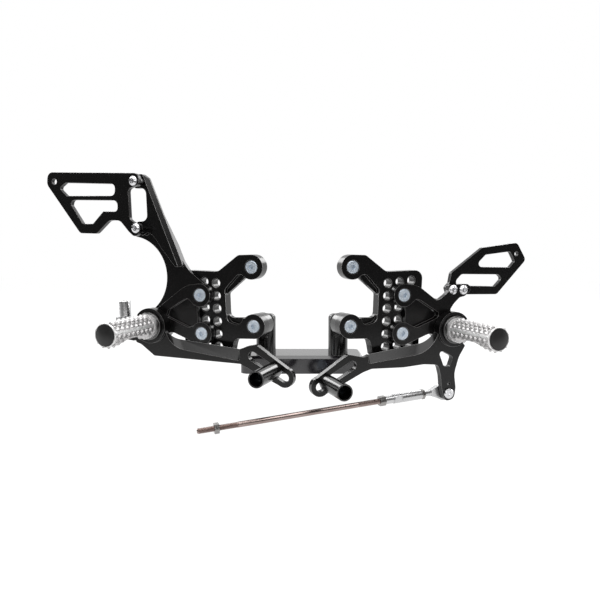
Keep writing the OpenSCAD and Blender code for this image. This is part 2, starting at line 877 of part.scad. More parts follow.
// Domed cap pressed into the tip
module cap_body(h) {
    dome_r = (cap_d * cap_d / 4 + cap_rise * cap_rise) / (2 * cap_rise);
    color(black) {
        bar(h, cap_d / 2 - 1.5, peg_tip - 5, peg_tip);
        intersection() {
            translate([h[0], h[1], peg_tip + cap_rise - dome_r]) sphere(dome_r, $fn = 96);
            bar(h, cap_d / 2, peg_tip, peg_tip + cap_rise + 1);
        }
    }
}

module peg_bolt_body(h) {
    color(zinc) difference() {
        union() {
            bar(h, 8, -peg_bolt_head_h, 0);
            bar(h, peg_bolt_d / 2, -eps, peg_base + peg_thread_depth - 2);
        }
        hex(h, 8, -peg_bolt_head_h - eps, -peg_bolt_head_h + 4);
    }
}

module brake_pivot_sleeve() { brake_side() sleeve_body(brake_hub); }

module shift_pivot_sleeve() { shift_side() sleeve_body(shift_hub); }

module brake_pivot_bearing() { brake_side() bearing_body(brake_hub); }

module shift_pivot_bearing() { shift_side() bearing_body(shift_hub); }

module brake_collar() { brake_side() collar_body(brake_hub); }

module shift_collar() { shift_side() collar_body(shift_hub); }

module brake_peg() { brake_side() peg_body(brake_hub); }

module shift_peg() { shift_side() peg_body(shift_hub); }

module brake_peg_cap() { brake_side() cap_body(brake_hub); }

module shift_peg_cap() { shift_side() cap_body(shift_hub); }

module brake_peg_bolt() { brake_side() peg_bolt_body(brake_hub); }

module shift_peg_bolt() { shift_side() peg_bolt_body(shift_hub); }

// Levers

// Removes the wide bevel: a ruled face from the back edge to the front crease
module bevel_cut(x_end, back, back_r, back_end, face, face_r, face_end) {
    hull() {
        bar(back, back_r, lever_back - eps, lever_back - eps / 2);
        bar([x_end + 2, back_end + 2], 2, lever_back - eps, lever_back - eps / 2);
        bar([x_end + 2, back[1] + 20], 2, lever_back - eps, lever_back - eps / 2);
        bar(face, face_r, lever_face + eps / 2, lever_face + eps);
        bar([x_end + 2, face_end + 2], 2, lever_face + eps / 2, lever_face + eps);
        bar([x_end + 2, back[1] + 20], 2, lever_face + eps / 2, lever_face + eps);
    }
}

// Toe plate between its ring and the pad near the lever
module toe_shape(ring, pad_top, pad_low) {
    r = toe_ring_r;
    side = r - 0.08;
    up = unit([ring[1] - pad_top[1], pad_top[0] - ring[0]]) * side;
    low = unit([pad_low[1] - ring[1], ring[0] - pad_low[0]]) * side;
    polygon([ring + up, pad_top, pad_low, ring + low, ring]);
    translate(ring) circle(r, $fn = 64);
}

module brake_lever_shape() {
    h = brake_hub;
    polygon(rounded([
        [-24, -88.9, 0], [-11.5, -80.2, 5], [-1, -82, 6], [7.5, -85.6, 8], [15, -84, 0],
        [60, -79.4, 20], [84, -75.8, 10], [h[0] - 15, h[1] - 5, 0], concat(h, 0),
        [h[0] + 14, h[1] - 4, 0], concat(clevis_at + [-14, -10.5], 20),
        [h[0] + 15, h[1] - 20.4, 15], [h[0] - 2.4, h[1] - 33.8, 3], [79, -96.8, 30],
        [7.1, -101, 3], [-20, -115, 0]
    ]));
    polygon([
        h + [8, 12], clevis_at + [1, 7], clevis_at + [1.5, -6.9],
        clevis_at + [-12, -9.1], h + [10, -16]
    ]);
    translate(clevis_at) circle(7, $fn = 48);
    toe_shape(brake_toe_ring, [-12.5, -81.4], [6.2, -101.7]);
}

module shift_lever_shape() {
    h = shift_hub;
    b = ball_at;
    polygon(rounded([
        [-24, -99.6, 0], [-10.5, -90.6, 5], [-0.5, -92.4, 6], [8.5, -94.2, 8], [15, -91, 0],
        [60, -83.6, 20], [80, -79, 12], [h[0] - 16, h[1] - 2, 0], concat(h, 0),
        [h[0] + 17, h[1] - 19, 0], [h[0] + 9.6, h[1] - 31.5, 20], [h[0] + 4.6, h[1] - 50, 20],
        [b[0] + 9.6, b[1] + 6, 10], [b[0] + 8, b[1] - 7, 7], [b[0] - 3.5, b[1] - 9, 5],
        [b[0] - 8.6, b[1] + 6, 20], [b[0] - 10.6, b[1] + 20, 10], [h[0] - 16.6, h[1] - 39.6, 6],
        [80, -103.7, 20], [55, -106.3, 30], [17, -106.6, 10], [7, -110, 3], [-20, -124, 0]
    ]));
    toe_shape(shift_toe_ring, [-11.5, -91.4], [0, -112.6]);
}

// Holes for the bearing and the slot of the toe peg
module lever_holes(h, ring, slot_top) {
    bar(h, bearing_d / 2, lever_back - eps, hub_face + eps);
    slab(lever_back - eps, lever_face + eps) slot_shape(slot_top, ring, toe_slot_r);
}

module brake_lever() {
    brake_side() color(black) difference() {
        union() {
            difference() {
                slab(lever_back, lever_face) brake_lever_shape();
                bevel_cut(8, [79, -50], 27, -86, [70, -61], 27, -97.6);
            }
            bar(brake_hub, lever_hub_r, lever_back, hub_face);
        }
        lever_holes(brake_hub, brake_toe_ring, brake_slot_top);
        bar(clevis_at, clevis_pin_d / 2 + running_fit, lever_back - eps, lever_face + eps);
    }
}

module shift_lever() {
    h = shift_hub;
    shift_side() color(black) difference() {
        union() {
            difference() {
                slab(lever_back, lever_face) shift_lever_shape();
                bevel_cut(13, [70, -52], 30.3, -92, [64, -60], 33.7, -101);
            }
            bar(h, lever_hub_r, lever_back, hub_face);
        }
        lever_holes(h, shift_toe_ring, shift_slot_top);
        bar(ball_at, small_d / 2 + thread_gap, lever_back - eps, lever_face + eps);
        bar(ball_at + [0.4, 10.5], 1.8, lever_back - eps, lever_face + eps);
        slab(lever_back - eps, lever_face + eps) polygon(rounded([
            [h[0] - 18.4, h[1] - 21.6, 3], [h[0] + 1.8, h[1] - 31.2, 3],
            [h[0] - 1.8, h[1] - 42.4, 2], [h[0] - 9.6, h[1] - 41, 2]
        ]));
    }
}

module toe_tube_body(at) {
    color(black) difference() {
        bar(at, toe_tube_d / 2, lever_face, lever_face + toe_tube_length);
        bar(at, toe_tube_bore / 2, lever_face + toe_tube_floor,
            lever_face + toe_tube_length + eps);
        bar(at, small_d / 2 + screw_gap, lever_face - eps, lever_face + toe_tube_floor + eps);
    }
}

// Screw inside the toe tube with its washer and nut behind the slot
module toe_screw_body(at) {
    floor_z = lever_face + toe_tube_floor;
    color(zinc) difference() {
        union() {
            bar(at, 5, floor_z, floor_z + 5);
            bar(at, small_d / 2, lever_back - 7, floor_z);
            bar(at, 6.4, lever_back - 1.2, lever_back);
            hex(at, 10, lever_back - 6.2, lever_back - 1.2);
        }
        hex(at, 5, floor_z + 2, floor_z + 5 + eps);
    }
}

module brake_toe_tube() { brake_side() toe_tube_body(brake_tube); }

module shift_toe_tube() { shift_side() toe_tube_body(shift_tube); }

module brake_toe_screw() { brake_side() toe_screw_body(brake_tube); }

module shift_toe_screw() { shift_side() toe_screw_body(shift_tube); }

// Brake pushrod

// Frame of the pushrod: z up along its axis, y through the clevis pin
module pushrod_frame() {
    brake_side()
        translate([clevis_x, clevis_y, (lever_back + lever_face) / 2])
            rotate([-90, 0, 0])
                children();
}

module pushrod_clevis() {
    gap = lever_t / 2 + body_gap;
    pushrod_frame() color(silver) difference() {
        union() {
            intersection() {
                translate([-7, -fork_half, -7]) cube([14, 2 * fork_half, fork_top + 7]);
                union() {
                    rotate([90, 0, 0]) bar([0, 0], 7, -fork_half, fork_half);
                    translate([-7, -fork_half, 0]) cube([14, 2 * fork_half, fork_top]);
                }
            }
            bar([0, 0], fork_thread_r, fork_top - eps, fork_top + fork_thread_length);
        }
        translate([-8, -gap, -8]) cube([16, 2 * gap, fork_crotch + 8]);
        rotate([90, 0, 0])
            bar([0, 0], clevis_pin_d / 2 + thread_gap, -fork_half - eps, fork_half + eps);
    }
}

// Long threaded sleeve that meets the pump
module pushrod_sleeve() {
    z0 = fork_top;
    z1 = fork_top + pushrod_length;
    pushrod_frame() color(silver) difference() {
        union() {
            cone([0, 0], pushrod_d / 2 - 1, pushrod_d / 2, z0, z0 + 1);
            bar([0, 0], pushrod_d / 2, z0 + 1, z1 - 0.6);
            cone([0, 0], pushrod_d / 2, pushrod_d / 2 - 0.6, z1 - 0.6, z1);
        }
        bar([0, 0], fork_thread_r + thread_gap, z0 - eps, z1 - pump_thread_depth + eps);
        bar([0, 0], pump_thread_r, z1 - pump_thread_depth, z1 + eps);
    }
}

// Pin with a head and a clip at its ends
module clevis_pin() {
    y = fork_half;
    pushrod_frame() color(zinc) rotate([90, 0, 0]) {
        bar([0, 0], clevis_pin_d / 2, -y - 2.4, y + 0.5);
        bar([0, 0], clevis_pin_d / 2 + 1.2, y, y + 1.6);
        bar([0, 0], clevis_pin_d / 2 + 1, -y - 1.6, -y - 0.1);
    }
}

// Shift rod

// Frame of the rod: z runs from the ball along the rod
module rod_frame() {
    shift_side()
        translate([ball_x, ball_y, rod_z])
            rotate([0, 0, 180 + rod_slope])
                rotate([0, 90, 0])
                    children();
}

// Bolt through the lever and the ball, with its nut
module ball_bolt() {
    seat = lever_back - ball_w;
    shift_side() color(silver) difference() {
        union() {
            cone(ball_at, 5.6, 4.6, lever_face + 2.4, lever_face + 3.2);
            bar(ball_at, 5.6, lever_face, lever_face + 2.4);
            bar(ball_at, small_d / 2, seat - 6.5, lever_face);
            hex(ball_at, 10, seat - 5.4, seat - 0.05);
        }
        hex(ball_at, 4, lever_face + 1.2, lever_face + 3.2 + eps);
    }
}

module rod_end_ball() {
    shift_side() color(silver) difference() {
        intersection() {
            translate([ball_x, ball_y, rod_z]) sphere(ball_d / 2, $fn = 64);
            bar(ball_at, ball_d, rod_z - ball_w / 2 + 0.05, lever_back - 0.05);
        }
        bar(ball_at, small_d / 2 + running_fit, rod_z - ball_w, lever_back + eps);
    }
}

// Eye housing with a tapered neck and a threaded shank
module rod_end() {
    half = rod_end_w / 2;
    r = rod_end_d / 2;
    color(silver) difference() {
        union() {
            shift_side() bar(ball_at, r, rod_z - half, rod_z + half);
            shift_side()
                translate([ball_x, ball_y, rod_z - half])
                    rotate([0, 0, 180 + rod_slope])
                        linear_extrude(rod_end_w)
                            polygon([[4, r - 1.2], [15.5, 3.3], [15.5, -3.3], [4, -r + 1.2]]);
            rod_frame() bar([0, 0], 3.3, 13, 18);
            rod_frame() bar([0, 0], small_d / 2, 17, rod_end_reach);
        }
        shift_side() translate([ball_x, ball_y, rod_z]) sphere(ball_d / 2 + 0.05, $fn = 64);
    }
}

module rod_end_nut() {
    rod_frame() color(zinc)
        nut([0, 0], rod_nut_af, small_d / 2 + thread_gap, coupler_start - 3.6, coupler_start);
}

// Round coupler with wrench flats and a slim threaded nose
module rod_coupler() {
    r = coupler_d / 2;
    z0 = coupler_start;
    z1 = coupler_end;
    rod_frame() color(silver) difference() {
        union() {
            bar([0, 0], r, z0, z1 - 10);
            bar([0, 0], r - 0.7, z1 - 10 - eps, z1);
        }
        for (a = [0, 180]) {
            rotate([0, 0, a])
                translate([r - 1, -r, z1 - 20])
                    cube([r, 2 * r, 9]);
        }
        bar([0, 0], small_d / 2 + thread_gap, z0 - eps, z1 + eps);
    }
}

module coupler_nut() {
    rod_frame() color(zinc)
        nut([0, 0], rod_nut_af, small_d / 2 + thread_gap, coupler_end, coupler_end + 7);
}

module shift_rod() {
    nut_end = rod_reach - free_nut_back;
    tip_r = small_d / 2 - thread_step;
    rod_frame() color(steel) union() {
        bar([0, 0], small_d / 2, coupler_end - rod_overlap, nut_end);
        bar([0, 0], tip_r, nut_end - eps, rod_reach - 0.8);
        cone([0, 0], tip_r, tip_r - 0.8, rod_reach - 0.8, rod_reach);
    }
}

module free_nut() {
    z0 = rod_reach - free_nut_back;
    rod_frame() color(zinc)
        nut([0, 0], rod_nut_af, small_d / 2 + thread_gap, z0 - rod_nut_h, z0);
}

stand_bar();
stand_post_brake();
stand_post_shift();
post_screws();
brake_frame_plate();
brake_frame_spacer();
brake_frame_bolts();
brake_heel_bracket();
brake_peg_carrier();
brake_carrier_bolts();
brake_carrier_nuts();
guard_standoffs();
brake_heel_guard();
brake_guard_screws();
brake_pivot_sleeve();
brake_pivot_bearing();
brake_collar();
brake_peg();
brake_peg_cap();
brake_peg_bolt();
brake_lever();
brake_toe_tube();
brake_toe_screw();
pushrod_sleeve();
pushrod_clevis();
clevis_pin();
shift_frame_plate();
shift_frame_spacer();
shift_frame_bolts();
shift_peg_carrier();
shift_carrier_bolts();
shift_carrier_nuts();
shift_heel_guard();
shift_guard_screws();
shift_pivot_sleeve();
shift_pivot_bearing();
shift_collar();
shift_peg();
shift_peg_cap();
shift_peg_bolt();
shift_lever();
shift_toe_tube();
shift_toe_screw();
ball_bolt();
rod_end_ball();
rod_end();
rod_end_nut();
rod_coupler();
coupler_nut();
shift_rod();
free_nut();
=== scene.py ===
# %% [markdown]
# # Rear set footrests on a display stand
#
# A rear set moves a rider's footrest, brake pedal and shift lever up and back. This lesson
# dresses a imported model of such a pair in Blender: the machined plates, the knurled pegs, the
# toe pegs and the long shift rod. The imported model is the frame. It fixes where every piece
# is and what it turns with, so no piece here is placed by eye.

import json
import math

import bmesh
import bpy
from mathutils import Matrix, Vector

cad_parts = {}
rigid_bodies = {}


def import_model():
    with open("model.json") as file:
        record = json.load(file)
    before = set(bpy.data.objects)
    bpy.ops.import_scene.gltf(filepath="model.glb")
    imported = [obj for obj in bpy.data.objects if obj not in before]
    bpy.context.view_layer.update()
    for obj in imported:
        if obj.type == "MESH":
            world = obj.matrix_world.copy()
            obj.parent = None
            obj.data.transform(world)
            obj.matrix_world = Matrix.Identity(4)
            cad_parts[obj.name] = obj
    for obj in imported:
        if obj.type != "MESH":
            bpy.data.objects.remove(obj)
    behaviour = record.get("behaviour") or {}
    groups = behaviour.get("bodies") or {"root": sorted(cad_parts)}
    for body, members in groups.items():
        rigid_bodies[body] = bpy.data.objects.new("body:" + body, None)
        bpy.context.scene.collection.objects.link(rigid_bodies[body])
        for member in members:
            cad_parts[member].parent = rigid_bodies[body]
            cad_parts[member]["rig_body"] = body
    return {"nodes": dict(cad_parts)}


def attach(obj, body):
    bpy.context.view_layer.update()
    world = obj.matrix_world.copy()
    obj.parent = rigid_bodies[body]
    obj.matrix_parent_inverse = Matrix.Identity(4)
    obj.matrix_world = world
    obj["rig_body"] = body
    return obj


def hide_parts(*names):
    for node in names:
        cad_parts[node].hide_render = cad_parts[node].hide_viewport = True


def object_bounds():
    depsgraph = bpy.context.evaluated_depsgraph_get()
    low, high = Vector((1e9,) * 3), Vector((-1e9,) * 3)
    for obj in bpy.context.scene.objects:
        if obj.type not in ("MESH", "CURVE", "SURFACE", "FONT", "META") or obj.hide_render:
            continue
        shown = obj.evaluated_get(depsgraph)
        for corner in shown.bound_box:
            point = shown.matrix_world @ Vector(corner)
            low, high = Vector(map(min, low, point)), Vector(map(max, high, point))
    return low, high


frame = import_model()
frame_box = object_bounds()
nodes = frame["nodes"]
MM = 0.001
size_mm = [round((b - a) / MM, 1) for a, b in zip(*frame_box)]
print("frame:", len(nodes), "nodes, size in mm:", size_mm)

# %% [markdown]
# The photograph was taken from the front and from a little above the pegs, with the camera
# tipped down by a few degrees. A 36 mm lens on a 36 mm sensor is 600 pixels of focal length
# on a 600 pixel frame.

# %% Camera
camera = bpy.data.objects.new("camera", bpy.data.cameras.new("camera"))
bpy.context.scene.collection.objects.link(camera)
PICTURE_WIDTH = 600
OFF_CENTRE = -2
CAMERA_BACK, CAMERA_HIGH = 686 * MM, 143 * MM
TIPPED_DOWN = 5.2
camera.data.lens = 36
camera.data.sensor_width = 36
camera.data.shift_x = OFF_CENTRE / PICTURE_WIDTH
camera.location = (0, -CAMERA_BACK, CAMERA_HIGH)
camera.rotation_euler = (math.radians(90 - TIPPED_DOWN), 0, 0)
bpy.context.scene.camera = camera
bpy.context.scene.view_settings.view_transform = "Standard"

# %% [markdown]
# Each side assembly is drawn in its own flat frame: u runs outward from the upper frame bolt,
# v runs up, and w comes out of the face of the frame plate. The shift side's directions are
# given here in the row's frame, and the brake side is its mirror image. A matrix made from
# them takes a point of the drawing to its place on the object.

# %% The two side frames
ORIGIN = Vector((54.436, -45.366, 119.863))
OUT_U = Vector((0.942096, 0.333614, -0.034027))
UP_V = Vector((0.032075, 0.011358, 0.999421))
FACE_W = Vector((0.333807, -0.942641, 0.0))


def side_matrix(side):
    """Matrix from the flat drawing of a side, in mm, to the row's frame, in metres."""
    m = Matrix((OUT_U, UP_V, FACE_W)).transposed().to_4x4()
    m.translation = ORIGIN
    flip = Matrix.Diagonal((-1 if side == "brake" else 1, 1, 1, 1))
    return Matrix.Scale(MM, 4) @ flip @ m


HUB = {"brake": (114.4, -61.2), "shift": (114.7, -65.2)}
PEG_START = 28.0
shift_peg = side_matrix("shift") @ Vector((*HUB["shift"], PEG_START))
print("shift peg starts at", [round(c, 3) for c in shift_peg])

# %% [markdown]
# Shader nodes are easier to read as sums. A `Wave` wraps one output of a node, and its plus
# and times add the Math nodes. `Finish` starts a material and adds every other node
# through one method, which sets the node's choices first and its sockets afterwards.

# %% Shader helpers


class Wave:
    """One number that varies over a surface."""

    def __init__(self, finish, socket):
        self.finish = finish
        self.socket = socket

    def _math(self, kind, a, b):
        made = self.finish.add("ShaderNodeMath", {"operation": kind}, {0: a, 1: b})
        return Wave(self.finish, made.outputs[0])

    def __add__(self, other):
        return self._math("ADD", self, other)

    def __mul__(self, other):
        return self._math("MULTIPLY", self, other)

    def clamp(self, low, high):
        return self._math("MINIMUM", self._math("MAXIMUM", self, low), high)


class Finish:
    """A material with one Principled shader, built node by node."""

    def __init__(self, name, base, metallic, roughness, ior=1.5):
        self.material = bpy.data.materials.new(name)
        self.material.use_nodes = True
        self.tree = self.material.node_tree
        self.shader = self.tree.nodes["Principled BSDF"]
        self.put("Base Color", (*base, 1))
        self.put("Metallic", metallic)
        self.put("Roughness", roughness)
        self.put("IOR", ior)
        self.material.diffuse_color = (*base, 1)
        self.place = self.add("ShaderNodeTexCoord").outputs["Object"]

    def add(self, kind, settings=None, values=None):
        made = self.tree.nodes.new(kind)
        for name, value in (settings or {}).items():
            setattr(made, name, value)
        for name, value in (values or {}).items():
            self.join(made.inputs[name], value)
        return made

    def join(self, socket, value):
        if isinstance(value, Wave):
            value = value.socket
        if isinstance(value, bpy.types.NodeSocket):
            self.tree.links.new(value, socket)
        else:
            socket.default_value = value

    def put(self, name, value):
        self.join(self.shader.inputs[name], value)

    def noise(self, scale, detail, stretch=(1, 1, 1)):
        """Noise of the object's own space, from 0 to 1, with a scale of its own per axis."""
        mapped = self.add(
            "ShaderNodeMapping",
            {"vector_type": "POINT"},
            {"Vector": self.place, "Scale": stretch},
        )
        made = self.add(
            "ShaderNodeTexNoise",
            {"noise_dimensions": "3D"},
            {"Vector": mapped.outputs[0], "Scale": scale, "Detail": detail},
        )
        return Wave(self, made.outputs["Fac"])

    def tint(self, factor, first, second):
        """Base colour that moves between two colours with a factor."""
        mixed = self.add(
            "ShaderNodeMix",
            {"data_type": "RGBA"},
            {"Factor": factor, 6: (*first, 1), 7: (*second, 1)},
        )
        self.put("Base Color", mixed.outputs[2])

    def bump(self, height, depth, strength):
        made = self.add(
            "ShaderNodeBump",
            {},
            {"Height": height, "Distance": depth, "Strength": strength},
        )
        self.put("Normal", made.outputs[0])

# %% [markdown]
# The plates and levers are anodised aluminium: a hard, nearly black oxide skin with a satin
# sheen. It reflects like a dull ceramic, so the shader stays non-metallic and the sheen comes
# from roughness. Blasting before the bath leaves a very fine grain, which is the bump.
# The same skin lies thinner on broken edges, where it reflects more; its lighter colour there is
# partly wear and partly a painted highlight along the edges.

# %% Anodised finishes
BLASTED_GRAIN = 0.03 * MM


def anodised(name, base, roughness, ior):
    f = Finish(name, base, 0.0, roughness, ior)
    patches = f.noise(38, 4)
    fine = f.noise(1500, 2)
    f.tint(patches, [c * 0.8 for c in base], [c * 1.25 for c in base])
    f.put("Roughness", (patches * 0.05 + (fine * 0.1 + (roughness - 0.075))).clamp(0.05, 0.9))
    f.bump(fine, BLASTED_GRAIN, 0.35)
    return f.material


black_face = anodised("black_anodised_face", (0.0026, 0.0024, 0.0024), 0.22, 1.4)
# bevel faces: a lighter base colour, partly edge wear and partly a painted highlight
black_edge_wear_and_highlight = anodised("black_anodised_edge_wear_and_highlight", (0.03, 0.027, 0.026), 0.3, 2.3)
black_tube = anodised("black_anodised_turned", (0.003, 0.0028, 0.0028), 0.17, 1.55)
bar_black = anodised("black_anodised_bar", (0.008, 0.007, 0.009), 0.14, 1.7)
print("anodised finishes:", black_face.name, black_edge_wear_and_highlight.name, black_tube.name, bar_black.name)

# %% [markdown]
# The bright parts are bare or plated metal. A broad noise moves the colour, and a fine one
# gives the scratches: even on most parts, finer in one direction on satin parts, and drawn
# out in one direction on the rod, which is a warm brown steel. Zinc plate is a mottled pale
# blue and only partly metallic, so it stays light when it faces a dim room.

# %% Metal finishes
EVEN = (900, 900, 900)
SATIN = (1400, 120, 120)
DRAWN = (60, 900, 900)
SCRATCH, SATIN_SCRATCH, ZINC_GRAIN = 0.04 * MM, 0.01 * MM, 0.3 * MM


def metal(name, base, darker, roughness, scale, stretch=EVEN, depth=SCRATCH, metallic=1.0):
    f = Finish(name, base, metallic, roughness)
    cloud = f.noise(scale, 4)
    lines = f.noise(1.0, 3, stretch)
    f.tint(cloud, darker, base)
    f.put("Roughness", (cloud * 0.16 + (lines * 0.1 + (roughness - 0.13))).clamp(0.05, 0.9))
    f.bump(lines, depth, 0.4)
    return f.material


bright, shade = (0.93, 0.925, 0.92), (0.62, 0.61, 0.61)
peg_silver = metal("peg_silver", bright, shade, 0.34, 900, metallic=0.6)
# a darker copy of the peg metal for the core between the teeth: painted shade in the grooves
bright, shade = (0.66, 0.65, 0.65), (0.3, 0.29, 0.29)
peg_groove_painted_shade = metal("peg_groove_painted_shade_metal", bright, shade, 0.36, 700, metallic=0.8)
bright, shade = (0.88, 0.93, 0.98), (0.26, 0.34, 0.43)
zinc = metal("zinc_plate", bright, shade, 0.36, 620, depth=ZINC_GRAIN, metallic=0.55)
bright, shade = (0.42, 0.41, 0.4), (0.2, 0.19, 0.185)
nut_steel = metal("nut_steel", bright, shade, 0.2, 300)
bright, shade = (0.82, 0.82, 0.83), (0.56, 0.56, 0.58)
screw_steel = metal("screw_steel", bright, shade, 0.24, 300)
bright, shade = (0.64, 0.64, 0.64), (0.5, 0.5, 0.51)
satin_silver = metal("satin_silver", bright, shade, 0.27, 90, SATIN, SATIN_SCRATCH)
bright, shade = (0.46, 0.38, 0.355), (0.22, 0.165, 0.15)
rod_brown = metal("rod_brown_steel", bright, shade, 0.24, 60, DRAWN)
bright, shade = (0.6, 0.42, 0.2), (0.4, 0.27, 0.12)
bronze = metal("bearing_bronze", bright, shade, 0.35, 300)
metals = (peg_silver, zinc, screw_steel, satin_silver, rod_brown, bronze)
print("metals:", [m.name for m in metals])

# %% [markdown]
# The peg's end cap is moulded plastic: matt, with a fine pebble grain and no metal in it.

# %% Plastic finish
PEBBLES = 0.06 * MM


def plastic(name, base, roughness):
    f = Finish(name, base, 0.0, roughness, 1.46)
    pebble = f.noise(900, 2)
    f.tint(f.noise(60, 3), [c * 0.8 for c in base], [c * 1.3 for c in base])
    f.put("Roughness", (pebble * 0.14 + (roughness - 0.07)).clamp(0.1, 0.9))
    f.bump(pebble, PEBBLES, 0.4)
    return f.material


cap_plastic = plastic("cap_plastic", (0.011, 0.0105, 0.0105), 0.4)

# %% [markdown]
# Machined pieces never have perfectly sharp edges. A cutter breaks each edge by a few tenths
# of a millimetre, and that narrow band is what catches the light in the photograph. The CAD
# node can't be changed, so each piece is a copy of it: its loose triangles are merged, flat
# areas are dissolved to single faces, and every sharp edge is bevelled. The bevel's own
# faces get the edge finish, which on the black parts is lighter, partly as wear and partly
# as a painted highlight. Weighted normals keep the flat faces flat.

# %% Break the edges of a copied node
SHARP = math.radians(28)
NEARLY_FLAT = math.radians(0.6)
MERGE = 0.02 * MM
FACE_SLOT, EDGE_SLOT = 0, 1


def finish_mesh(name, mesh, materials, body, flat_angle=35):
    for m in materials:
        mesh.materials.append(m)
    mesh.shade_smooth()
    mesh.set_sharp_from_angle(angle=math.radians(flat_angle))
    piece = bpy.data.objects.new(name, mesh)
    bpy.context.scene.collection.objects.link(piece)
    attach(piece, body)
    return piece


def break_edges(bm, width):
    """Bevels every sharp edge by a width in mm, and says how many there were."""
    edges = [e for e in bm.edges if len(e.link_faces) == 2 and e.calc_face_angle(0) > SHARP]
    bmesh.ops.bevel(
        bm,
        geom=edges,
        offset=width * MM,
        offset_type="OFFSET",
        segments=2,
        profile=0.6,
        affect="EDGES",
        clamp_overlap=False,
        loop_slide=True,
        material=EDGE_SLOT,
    )
    return len(edges)


def dress(node, face, edge, width):
    """A copy of a node with broken edges, which takes the node's place in the looks."""
    source = nodes[node]
    bm = bmesh.new()
    bm.from_mesh(source.data)
    for f in bm.faces:
        f.material_index = FACE_SLOT
    bmesh.ops.remove_doubles(bm, verts=bm.verts, dist=MERGE)
    bmesh.ops.dissolve_degenerate(bm, edges=bm.edges, dist=MERGE)
    bmesh.ops.dissolve_limit(bm, angle_limit=NEARLY_FLAT, verts=bm.verts, edges=bm.edges)
    count = break_edges(bm, width)
    mesh = bpy.data.meshes.new(node + "_dressed")
    bm.to_mesh(mesh)
    bm.free()
    piece = finish_mesh(node + "_dressed", mesh, [face, edge], source["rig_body"])
    even = piece.modifiers.new("even_normals", "WEIGHTED_NORMAL")
    even.keep_sharp = True
    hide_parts(node)
    return piece, count


# the second finish of each pair goes on the bevels; the black one is a painted highlight as well
# as wear
SKIN = (black_face, black_edge_wear_and_highlight)
TURNED = (black_tube, black_edge_wear_and_highlight)
DRESSING = {
    "stand_bar": (bar_black, bar_black, 0.35),
    "stand_post_brake": (*TURNED, 0.3),
    "stand_post_shift": (*TURNED, 0.3),
    "brake_frame_plate": (*SKIN, 0.35),
    "shift_frame_plate": (*SKIN, 0.35),
    "brake_frame_spacer": (*TURNED, 0.3),
    "shift_frame_spacer": (*TURNED, 0.3),
    "brake_heel_bracket": (*SKIN, 0.3),
    "brake_peg_carrier": (*SKIN, 0.35),
    "shift_peg_carrier": (*SKIN, 0.35),
    "brake_heel_guard": (*SKIN, 0.3),
    "shift_heel_guard": (*SKIN, 0.3),
    "guard_standoffs": (*TURNED, 0.2),
    "brake_lever": (*SKIN, 0.25),
    "shift_lever": (*SKIN, 0.25),
    "brake_collar": (*TURNED, 0.25),
    "shift_collar": (*TURNED, 0.25),
    "brake_toe_tube": (*TURNED, 0.2),
    "shift_toe_tube": (*TURNED, 0.2),
    "post_screws": (zinc, zinc, 0.15),
    "brake_frame_bolts": (zinc, zinc, 0.15),
    "shift_frame_bolts": (zinc, zinc, 0.15),
    "brake_carrier_bolts": (zinc, zinc, 0.15),
    "shift_carrier_bolts": (zinc, zinc, 0.15),
    "brake_carrier_nuts": (zinc, zinc, 0.15),
    "shift_carrier_nuts": (zinc, zinc, 0.15),
    "brake_toe_screw": (zinc, zinc, 0.12),
    "shift_toe_screw": (zinc, zinc, 0.12),
    "brake_peg_bolt": (zinc, zinc, 0.15),
    "shift_peg_bolt": (zinc, zinc, 0.15),
    "brake_guard_screws": (screw_steel, screw_steel, 0.15),
    "shift_guard_screws": (screw_steel, screw_steel, 0.15),
    "ball_bolt": (screw_steel, screw_steel, 0.15),
    "brake_pivot_sleeve": (screw_steel, screw_steel, 0.1),
    "shift_pivot_sleeve": (screw_steel, screw_steel, 0.1),
    "brake_pivot_bearing": (bronze, bronze, 0.1),
    "shift_pivot_bearing": (bronze, bronze, 0.1),
    "pushrod_clevis": (satin_silver, satin_silver, 0.25),
    "pushrod_sleeve": (satin_silver, satin_silver, 0.2),
    "clevis_pin": (zinc, zinc, 0.1),
    "rod_end": (satin_silver, satin_silver, 0.25),
    "rod_end_ball": (screw_steel, screw_steel, 0.1),
    "rod_end_nut": (nut_steel, nut_steel, 0.2),
    "rod_coupler": (satin_silver, satin_silver, 0.2),
    "coupler_nut": (nut_steel, nut_steel, 0.25),
    "free_nut": (nut_steel, nut_steel, 0.25),
    "brake_peg_cap": (cap_plastic, cap_plastic, 0.2),
    "shift_peg_cap": (cap_plastic, cap_plastic, 0.2),
}
dressed = {}
for node, (face, edge, width) in DRESSING.items():
    dressed[node], count = dress(node, face, edge, width)
    print(f"{node}: {count} sharp edges broken, {len(dressed[node].data.polygons)} faces")

# %% [markdown]
# Each footrest peg is turned from aluminium, scooped out underneath, and cut with two
# families of crossed V grooves. What the grooves leave is a diamond of teeth that grips a
# boot. First comes the core, a turned body a little below the tips of the teeth. Its rings
# are points in code, because a scoop and two wrench flats simply cap how far a point may
# stand out. A smooth band is left along one side. All distances along the peg start at its
# base, and all sizes here are in mm.

# %% Core of a peg
PEG_LENGTH = 72.0
PEG_RADIUS = 14.0
TOOTH_HEIGHT = 1.6
GROOVE_RADIUS = PEG_RADIUS - TOOTH_HEIGHT
BASE_END = 5.2
BASE_RADIUS = 13.45
BASE_BREAK = 0.4
FLATS_END = 4.5
FLATS_HALF = 12.0
RIM = 1.2
RIM_SLOPE = 0.4
CAP_SEAT_RADIUS = 11.3
CAP_SEAT_DEPTH = 1.5
BAND_ANGLE = 172.0
BAND_HALF = 9.0
BAND_BLEND = 4.0
BAND_RISE = 0.75
SMOOTH_SLOT, GROOVE_SLOT = 0, 1


